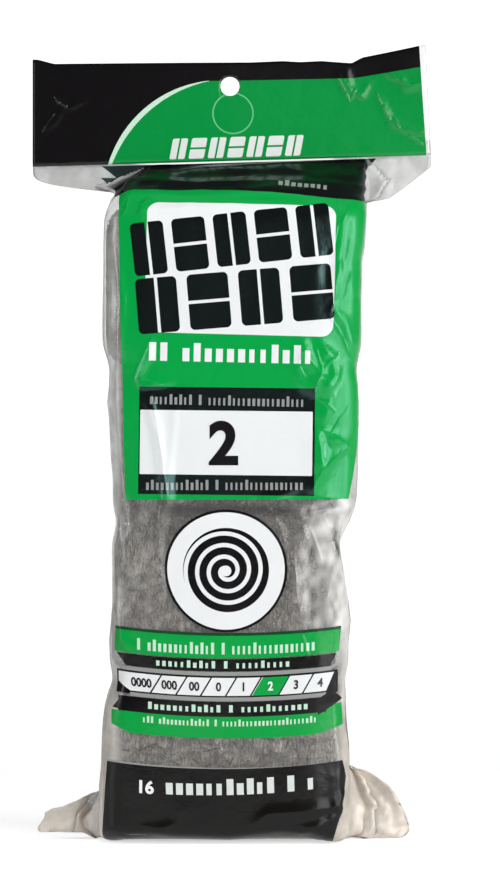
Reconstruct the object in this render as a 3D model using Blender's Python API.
"""Hanging sleeve of sixteen steel wool pads, standing on its folded end.

Metres, +Z up. The printed front faces -Y and the origin is the middle of the base.
Sixteen folded pads stand four high and four deep in one sleeve of clear film.
The sleeve is flat tubing: it is square round the pads, closes to a flat flap at
each end of the base, and runs flat into a printed header with a hanging hole.
"""

import math

import bmesh
import bpy
from mathutils import Vector, noise

# Pads
ROWS = 4
DEEP = 4
PAD_HEIGHT = 0.0655
PAD_THICKNESS = 0.0143
ROW_LENGTHS = (0.1015, 0.0965, 0.1005, 0.1045)
ROW_SHIFTS = (-0.0020, -0.0005, 0.0015, 0.0010)
PAD_CORNER = 0.0090
PAD_END_ROUND = 0.0030
LAP_DEPTH = 0.0011
LAP_WIDTH = 0.0030
LAP_HEIGHT = 0.0110
PAD_GAP = 0.0003
PAD_STEP = 0.0140
LUMP_LENGTH = 0.0160
LUMP_DEPTH = 0.0012
FOLD_SQUARENESS = 2.6

# Film
FILM_WALL = 0.0004
FILM_GAP = 0.0004
FILM_SLACK = 0.0007
SLEEVE_CORNER = 0.0070
BASE_ROUND = 0.0050
WAIST_PINCH = 0.0012
FRONT_PINCH = 0.0006
PINCH_REACH = 0.0042
STEP_REACH = 0.0120
CREASE = 0.0006
FLAP_THICKNESS = 0.0009

# Flaps that the closed end leaves at the base, and shoulders under the header
LEFT_FLAP_REACH = 0.0280
LEFT_FLAP_HEIGHT = 0.0200
LEFT_FLAP_SWELL = 1.25
RIGHT_FLAP_REACH = 0.0260
RIGHT_FLAP_HEIGHT = 0.0300
RIGHT_FLAP_SWELL = 2.4
SHOULDER_DROP = 0.0160

# Header
GABLE_HEIGHT = 0.0200
HEM_GAP = 0.0005
HEM_OVERLAP = 0.0040
HEM_RADIUS = 0.0009
HEADER_WIDTH = 0.1675
HEADER_HEIGHT = 0.0423
HEM_TILT = 0.0290
KINK_START = 0.0510
KINK_LIFT = 0.0060
END_CURL = 0.0040
WAVE = 0.0012
WAVE_LENGTH = 0.1100
HOLE_RADIUS = 0.0040
HOLE_BELOW_TOP = 0.0110
VENT_RADIUS = 0.0015
VENT_DROP = 0.0300

# Facets
FRONT_STEPS = 10
CORNER_STEPS = 3
SIDE_STEPS = 2
FLAP_STEPS = 4
ROUND_STEPS = 3
HEADER_STEPS = 5
HOLE_STEPS = 24
LEVEL_STEP = 0.0005

# Print on the front, as heights above the base
BASE_BAND_TOP = 0.0295
LOWER_BAND = (0.0487, 0.0886)
SCALE_STRIP = (0.0640, 0.0725)
PANEL_BOTTOM = 0.1400
GRADE_BOX = (0.1440, 0.1860)
GRADE_FIELD = (0.1520, 0.1780)
TITLE_FIELD = (0.2100, 0.2640)
PRINT_MARGIN = 0.0040
FIELD_MARGIN = 0.0120
HEADER_BLACK_EDGE = -0.0300

PITCH = PAD_HEIGHT + PAD_GAP
STACK_BOTTOM = FILM_WALL + PAD_GAP
STACK_TOP = STACK_BOTTOM + ROWS * PITCH - PAD_GAP
STACK_DEPTH = DEEP * PAD_THICKNESS + (DEEP - 1) * PAD_GAP
HALF_DEPTH = STACK_DEPTH / 2 + FILM_GAP + FILM_WALL
SEAL = STACK_TOP + GABLE_HEIGHT
HALF_FLAP = FLAP_THICKNESS / 2
HEADER_BOTTOM = SEAL + HEM_GAP
HEADER_TOP = HEADER_BOTTOM + HEADER_HEIGHT
JOINTS = [STACK_BOTTOM + row * PITCH - PAD_GAP / 2 for row in range(1, ROWS)]


def clear_scene():
    """Removes what the file holds, so that the script can run again."""
    for obj in list(bpy.data.objects):
        bpy.data.objects.remove(obj)


def material(name, colour, roughness, metallic=0.0, alpha=1.0):
    """A Principled material of one colour."""
    made = bpy.data.materials.new(name)
    made.use_nodes = True
    shader = made.node_tree.nodes["Principled BSDF"]
    shader.inputs["Base Color"].default_value = (*colour, 1.0)
    shader.inputs["Roughness"].default_value = roughness
    shader.inputs["Metallic"].default_value = metallic
    shader.inputs["Alpha"].default_value = alpha
    return made


def empty(name, parent=None):
    """A named empty that other objects hang from."""
    made = bpy.data.objects.new(name, None)
    bpy.context.scene.collection.objects.link(made)
    made.parent = parent
    return made


def solid(name, mesh, parent, materials):
    """A mesh object under an empty."""
    made = bpy.data.objects.new(name, mesh)
    bpy.context.scene.collection.objects.link(made)
    made.parent = parent
    if not mesh.materials:
        for finish in materials:
            mesh.materials.append(finish)
    return made


def smoothed(value):
    """Eases a share from 0 to 1."""
    share = min(1.0, max(0.0, value))
    return share * share * (3 - 2 * share)


def skin(name, rings, close_start, close_end):
    """A closed mesh through rings of equally many points, each run counter-clockwise as seen from its end."""
    bm = bmesh.new()
    rows = [[bm.verts.new(point) for point in ring] for ring in rings]
    count = len(rows[0])
    for low, high in zip(rows, rows[1:]):
        for i in range(count):
            j = (i + 1) % count
            bm.faces.new((low[i], low[j], high[j], high[i]))
    close_start(bm, rows[0])
    close_end(bm, rows[-1])
    mesh = bpy.data.meshes.new(name)
    bm.to_mesh(mesh)
    bm.free()
    mesh.shade_smooth()
    mesh.set_sharp_from_angle(angle=math.radians(40))
    return mesh


def cap_below(bm, ring):
    """Fills a flat ring with one face that looks back along the rings."""
    bm.faces.new(ring[::-1])


def cap_above(bm, ring):
    """Fills a flat ring with one face that looks on along the rings."""
    bm.faces.new(ring)


def fold_point(fold, angle):
    """(y, z) on a fold, at an angle from its crest; pads press their folds a little square."""
    across, up = math.sin(angle), math.cos(angle)
    power = 2 / FOLD_SQUARENESS
    return math.copysign(fold * abs(across) ** power, across), fold * up**power


def pad_section(height, thickness):
    """(y, z) points round one end view of a folded pad: full folds above and below, and the lap of its last turn."""
    fold = thickness / 2
    straight = height / 2 - fold
    lap = LAP_HEIGHT * height / PAD_HEIGHT
    depth = LAP_DEPTH * thickness / PAD_THICKNESS
    crest = [fold_point(fold, math.radians(angle)) for angle in (-60, -30, 0, 30, 60)]
    bottom = [(y, -straight - z) for y, z in crest]
    back = [(fold, straight * share) for share in (-1, -0.5, 0, 0.5, 1)]
    top = [(-y, straight + z) for y, z in crest]
    above = [(-fold, straight), (-fold, (straight + lap + LAP_WIDTH) / 2)]
    step = [(-fold, lap + LAP_WIDTH), (-fold + depth, lap + LAP_WIDTH / 3), (-fold, lap)]
    below = [(-fold, lap - (straight + lap) * k / 3) for k in (1, 2, 3)]
    return bottom + back + top + above + step + below


def settled(point, straight, fade, row):
    """Moves a point of a pad inwards where the wool has settled unevenly, but not at its ends or crests."""
    x, y, z = point
    uneven = noise.noise(Vector((x, 2 * y, z)) / LUMP_LENGTH + Vector((0, 0, 10 * row)))
    free = 1 - min(1.0, abs(z) / (straight + PAD_THICKNESS / 2)) ** 12
    sink = LUMP_DEPTH * fade * free * min(1.0, max(0.0, 0.3 + 1.8 * uneven))
    core = max(-straight, min(straight, z))
    share = 1 - sink / math.hypot(y, z - core)
    return x, y * share, core + (z - core) * share


def pad_mesh(name, length, row):
    """One pad, lofted along its length from its end view, with its corners rounded."""
    flat = length / 2 - PAD_CORNER
    turns = [math.radians(90 * k / 2) for k in range(3)]
    steps = round(2 * flat / PAD_STEP)
    stations = [(-flat - PAD_CORNER * math.sin(turn), turn) for turn in turns[::-1]]
    stations += [(-flat + 2 * flat * k / steps, 0.0) for k in range(1, steps)]
    stations += [(flat + PAD_CORNER * math.sin(turn), turn) for turn in turns]
    rings = []
    for x, turn in stations:
        height = PAD_HEIGHT - 2 * PAD_CORNER * (1 - math.cos(turn))
        thickness = PAD_THICKNESS - 2 * PAD_END_ROUND * (1 - math.cos(turn))
        straight = (height - thickness) / 2
        section = pad_section(height, thickness)
        rings.append([settled((x, y, z), straight, math.cos(turn), row) for y, z in section])
    return skin(name, rings, cap_below, cap_above)


def row_share(z):
    """Each row's weight at a height: one inside its row, eased into the next across the joint."""
    above = [smoothed(0.5 + (z - joint) / (2 * STEP_REACH)) for joint in JOINTS]
    edges = [1.0] + above + [0.0]
    return [edges[row] - edges[row + 1] for row in range(ROWS)]


def at_row(values, z):
    """A value given for each row, at a height."""
    return sum(share * value for share, value in zip(row_share(z), values))


def pinch(z):
    """How far the film is drawn in at a height, as a share of its deepest."""
    return max(math.exp(-(((z - joint) / PINCH_REACH) ** 2)) for joint in JOINTS)


def base_inset(z, radius=BASE_ROUND):
    """How far a rounded lower edge draws the film in."""
    short = min(radius, max(0.0, BASE_ROUND - z))
    return BASE_ROUND - math.sqrt(radius**2 - short**2) if short else BASE_ROUND - radius


def flap_reach(z, side):
    """How far a base flap stands out at a height: the corner of a superellipse."""
    reach, height, swell = (
        (LEFT_FLAP_REACH, LEFT_FLAP_HEIGHT, LEFT_FLAP_SWELL)
        if side < 0
        else (RIGHT_FLAP_REACH, RIGHT_FLAP_HEIGHT, RIGHT_FLAP_SWELL)
    )
    inside = max(0.0, 1 - (z / height) ** swell)
    return reach * inside ** (1 / swell)


def gable_share(z):
    """0 where the film is still square round the pads, 1 at the seal."""
    start = STACK_TOP - PAD_THICKNESS / 2
    return min(1.0, max(0.0, (z - start) / (SEAL - start)))


def half_depth(z, inset=base_inset):
    """Half the sleeve's depth at a height."""
    share = gable_share(z)
    closing = math.cos(share * math.pi / 2) ** 0.8 if share < 1 else 0.0
    column = HALF_DEPTH - FRONT_PINCH * pinch(z) - inset(z)
    return HALF_FLAP + (column - HALF_FLAP) * closing


def half_width(z, inset=base_inset):
    """Half the sleeve's width at a height, flaps left out."""
    row = at_row(ROW_LENGTHS, z) / 2 + FILM_GAP + FILM_WALL + FILM_SLACK
    return row - WAIST_PINCH * pinch(z) - inset(z)


def tip(z, side):
    """How far the sleeve reaches from its own middle at a height, flaps and shoulders included."""
    shoulder = smoothed((z - SEAL + SHOULDER_DROP) / SHOULDER_DROP)
    middle = at_row(ROW_SHIFTS, z)
    spread = (HEADER_WIDTH / 2 - side * middle - half_width(z)) * shoulder
    return half_width(z) + CREASE + max(flap_reach(z, side), spread)


def quarter(z, side, flat):
    """(reach, depth) points from the end of the flat front to the tip, on one side.

    flat is 0 for the square sleeve and 1 for flat tubing, whose points spread evenly."""
    wide, deep, end = half_width(z), half_depth(z), tip(z, side)
    round_x = min(SLEEVE_CORNER, wide / 2)
    round_y = min(SLEEVE_CORNER, (deep - HALF_FLAP) / 2)
    start = wide - round_x
    root = wide + (end - wide) * (0.15 + 0.35 * gable_share(z))
    points = []
    for k in range(1, CORNER_STEPS + 1):
        turn = math.pi / 2 * k / CORNER_STEPS
        points.append((start + round_x * math.sin(turn), deep - round_y * (1 - math.cos(turn))))
    for k in range(1, SIDE_STEPS + 1):
        share = k / SIDE_STEPS
        drop = deep - round_y - HALF_FLAP
        points.append((wide + (root - wide) * share**3, deep - round_y - drop * share))
    for k in range(1, FLAP_STEPS + 1):
        points.append((root + (end - root) * k / FLAP_STEPS, HALF_FLAP))
    total = len(points)
    spread = [start + (end - start) * (k + 1) / total for k in range(total)]
    return [(x + (even - x) * flat, y) for (x, y), even in zip(points, spread)]


def ring(z, flat=0.0):
    """(x, depth) points once round the sleeve at a height, counter-clockwise from above."""
    middle, wide, deep = at_row(ROW_SHIFTS, z), half_width(z), half_depth(z)
    start = wide - min(SLEEVE_CORNER, wide / 2)
    front = [-start + 2 * start * k / FRONT_STEPS for k in range(FRONT_STEPS + 1)]
    right, left = quarter(z, 1, flat), quarter(z, -1, flat)
    points = [(x, -deep) for x in front]
    points += [(x, -y) for x, y in right]
    points += [(x, y) for x, y in right[::-1]]
    points += [(x, deep) for x in front[::-1]]
    points += [(-x, y) for x, y in left]
    points += [(-x, -y) for x, y in left[::-1]]
    return [(middle + x, y) for x, y in points]


def sleeve_levels():
    """Heights of the rings from the base to the seal."""
    turns = [math.radians(90 * k / ROUND_STEPS) for k in range(ROUND_STEPS + 1)]
    levels = {BASE_ROUND * (1 - math.cos(turn)) for turn in turns}
    levels |= {LEFT_FLAP_HEIGHT * share for share in (0.5, 0.8, 1.0)}
    levels |= {RIGHT_FLAP_HEIGHT * share for share in (0.8, 1.0)}
    for joint in JOINTS:
        levels |= {joint + PINCH_REACH * k for k in (-2, -1, 0, 1, 2)}
    levels |= {STACK_BOTTOM + PITCH * (row + 0.5) for row in range(1, ROWS)}
    start = STACK_TOP - PAD_THICKNESS / 2
    levels |= {start + (SEAL - start) * share for share in (0, 0.2, 0.38, 0.52, 0.66, 0.8, 0.92, 1)}
    levels |= {BASE_BAND_TOP, PANEL_BOTTOM, *LOWER_BAND, *GRADE_BOX, *TITLE_FIELD}
    kept = []
    for level in sorted(levels):
        if not kept or level - kept[-1] > LEVEL_STEP:
            kept.append(level)
    kept[-1] = SEAL
    return kept


def hem_path():
    """(y, z, turn) of the flat tubing above the seal: up, folded forward and down, then up as the header."""
    down = HEADER_BOTTOM + HALF_FLAP + HEM_RADIUS
    up = down + HEM_OVERLAP
    path = [(0.0, up, 0.0)]
    for k in range(1, ROUND_STEPS + 1):
        turn = math.pi * k / ROUND_STEPS
        path.append((-HEM_RADIUS * (1 - math.cos(turn)), up + HEM_RADIUS * math.sin(turn), turn))
    for k in range(ROUND_STEPS + 1):
        turn = math.pi * k / ROUND_STEPS
        y = -HEM_RADIUS * (3 - math.cos(turn))
        path.append((y, down - HEM_RADIUS * math.sin(turn), math.pi - turn))
    for k in range(1, HEADER_STEPS + 1):
        path.append((-4 * HEM_RADIUS, down + (HEADER_TOP - down) * k / HEADER_STEPS, 0.0))
    return path


def header_bend(x, y, z):
    """Tilts the hem, lifts the header's right end past its kink and lets the header wave."""
    low = SEAL - SHOULDER_DROP
    settled = smoothed((z - low) / (SEAL - low))
    share = min(1.0, max(0.0, (z - HEADER_BOTTOM) / HEADER_HEIGHT))
    past = max(0.0, (x - KINK_START) / (HEADER_WIDTH / 2 - KINK_START))
    lift = HEM_TILT * x * settled * (1 - share) + KINK_LIFT * past * share
    wave = WAVE * math.sin(2 * math.pi * x / WAVE_LENGTH) * share
    return (x, y + wave - END_CURL * past**2 * share, z + lift)


def sleeve_rings():
    """The sleeve's outer rings, from the base up through the seal and the hem to the header's top edge."""
    rings = [[(x, y, z) for x, y in ring(z)] for z in sleeve_levels()]
    flat_ring = ring(SEAL, flat=1.0)
    for y0, z0, turn in hem_path():
        rings.append(
            [(x, y0 + y * math.cos(turn), z0 + y * math.sin(turn)) for x, y in flat_ring]
        )
    return [[header_bend(*point) for point in each] for each in rings]


def close_header(bm, ring_verts):
    """Joins the front and back plies along the header's top edge."""
    count = len(ring_verts)
    side = CORNER_STEPS + SIDE_STEPS + FLAP_STEPS
    order = ring_verts[-side:] + ring_verts[:-side]
    half = count // 2
    front, back = order[:half], order[half:][::-1]
    for i in range(half - 1):
        bm.faces.new((front[i], front[i + 1], back[i + 1], back[i]))


def inner_inset(z):
    """The rounded lower edge of the space inside the film, a film's thickness in from the outer one."""
    return base_inset(z, BASE_ROUND - FILM_WALL)


def cavity_rings():
    """The space inside the film, a film's thickness in from the outer rings all the way to the seal."""
    levels = [z for z in sleeve_levels() if z > BASE_ROUND - FILM_WALL]
    turns = [math.radians(90 * k / ROUND_STEPS) for k in range(ROUND_STEPS)]
    low = [BASE_ROUND - (BASE_ROUND - FILM_WALL) * math.cos(turn) for turn in turns]
    rings = []
    for z in low + levels:
        share = gable_share(z)
        deep = half_depth(z, inner_inset) - 2 * FILM_WALL * share
        if deep > 2 * FILM_WALL:
            rings.append(rounded(z, half_width(z, inner_inset) - 4 * FILM_WALL * share, deep))
    return [[header_bend(*point) for point in each] for each in rings]


def rounded(z, wide, deep):
    """A rounded rectangle at a height, counter-clockwise from above."""
    corner = min(SLEEVE_CORNER - FILM_WALL, wide / 2, deep * 0.9)
    middle = at_row(ROW_SHIFTS, z)
    points = []
    for quadrant, (sx, sy) in enumerate(((1, -1), (1, 1), (-1, 1), (-1, -1))):
        for k in range(CORNER_STEPS + 1):
            turn = math.pi / 2 * (k / CORNER_STEPS + quadrant - 1)
            points.append(
                (
                    middle + sx * (wide - corner) + corner * math.cos(turn),
                    sy * (deep - corner) + corner * math.sin(turn),
                    z,
                )
            )
    return points


def punch(name, radius, start, length, parent):
    """A round cutter that runs along +Y."""
    bm = bmesh.new()
    bmesh.ops.create_cone(
        bm, cap_ends=True, segments=HOLE_STEPS, radius1=radius, radius2=radius, depth=length
    )
    mesh = bpy.data.meshes.new(name)
    bm.to_mesh(mesh)
    bm.free()
    made = solid(name, mesh, parent, [])
    made.rotation_euler = (math.pi / 2, 0, 0)
    x, y, z = start
    made.location = (x, y + length / 2, z)
    made.hide_render = True
    made.display_type = "WIRE"
    return made


def cut(target, cutter):
    """Takes a cutter away from a solid."""
    change = target.modifiers.new(cutter.name, "BOOLEAN")
    change.operation = "DIFFERENCE"
    change.solver = "EXACT"
    change.object = cutter


def print_field(x, y, z):
    """Which ink lies at a point of the film: 0 clear, 1 green, 2 black, 3 white."""
    if z > HEADER_BOTTOM + HEM_OVERLAP / 2:
        if abs(x) > HEADER_WIDTH / 2 - PRINT_MARGIN and x > 0:
            return 0
        return 2 if x < HEADER_BLACK_EDGE else 1
    half = at_row(ROW_LENGTHS, z) / 2
    if y > -half_depth(z) * 0.8 or abs(x) > half - PRINT_MARGIN / 2:
        return 0
    inside = abs(x) < half - FIELD_MARGIN
    if z < BASE_BAND_TOP:
        return 2
    if LOWER_BAND[0] < z < LOWER_BAND[1]:
        return 3 if SCALE_STRIP[0] < z < SCALE_STRIP[1] and inside else 1
    if z < PANEL_BOTTOM:
        return 0
    if inside and GRADE_BOX[0] < z < GRADE_BOX[1]:
        return 3 if GRADE_FIELD[0] < z < GRADE_FIELD[1] else 2
    if inside and TITLE_FIELD[0] < z < TITLE_FIELD[1]:
        return 3
    return 2 if z > STACK_TOP else 1


def make_sleeve(parent, inks):
    """The film sleeve: the outer skin, less the space inside, a vent in its back and the hanging hole."""
    mesh = skin("sleeve", sleeve_rings(), cap_below, close_header)
    sleeve = solid("sleeve", mesh, parent, inks)
    for face in mesh.polygons:
        face.material_index = print_field(*face.center)
    cavity_mesh = skin("cavity", cavity_rings(), cap_below, cap_above)
    cavity = solid("cavity", cavity_mesh, parent, [])
    cavity.hide_render = True
    cavity.display_type = "WIRE"
    cut(sleeve, cavity)
    back = (0.0, HALF_DEPTH - FILM_WALL - FILM_GAP, STACK_TOP - VENT_DROP)
    cut(sleeve, punch("vent_punch", VENT_RADIUS, back, 8 * FILM_WALL, parent))
    front = (0.0, -4 * HEM_RADIUS - 10 * FLAP_THICKNESS, HEADER_TOP - HOLE_BELOW_TOP)
    cut(sleeve, punch("hole_punch", HOLE_RADIUS, front, 20 * FLAP_THICKNESS, parent))
    return sleeve


def make_pads(parent, wool):
    """Sixteen pads, four deep in each row; every other one has its lap at the back."""
    for row in range(ROWS):
        mesh = pad_mesh(f"pad_row_{row + 1}", ROW_LENGTHS[row], row)
        z = STACK_BOTTOM + PAD_HEIGHT / 2 + row * PITCH
        for layer in range(DEEP):
            pad = solid(f"pad_row_{row + 1}_layer_{layer + 1}", mesh, parent, [wool])
            y = -STACK_DEPTH / 2 + PAD_THICKNESS / 2 + layer * (PAD_THICKNESS + PAD_GAP)
            pad.location = (ROW_SHIFTS[row], y, z)
            pad.rotation_euler = (0, 0, math.pi * (layer % 2))


def build():
    """Makes the whole pack."""
    clear_scene()
    wool = material("steel_wool", (0.20, 0.195, 0.19), 0.62, metallic=0.7)
    inks = [
        material("clear_film", (0.90, 0.90, 0.90), 0.12, alpha=0.35),
        material("green_ink", (0.0, 0.33, 0.05), 0.15),
        material("black_ink", (0.012, 0.011, 0.012), 0.15),
        material("white_ink", (0.83, 0.84, 0.86), 0.18),
    ]
    pack = empty("pack")
    make_sleeve(pack, inks)
    make_pads(empty("stack", pack), wool)


build()
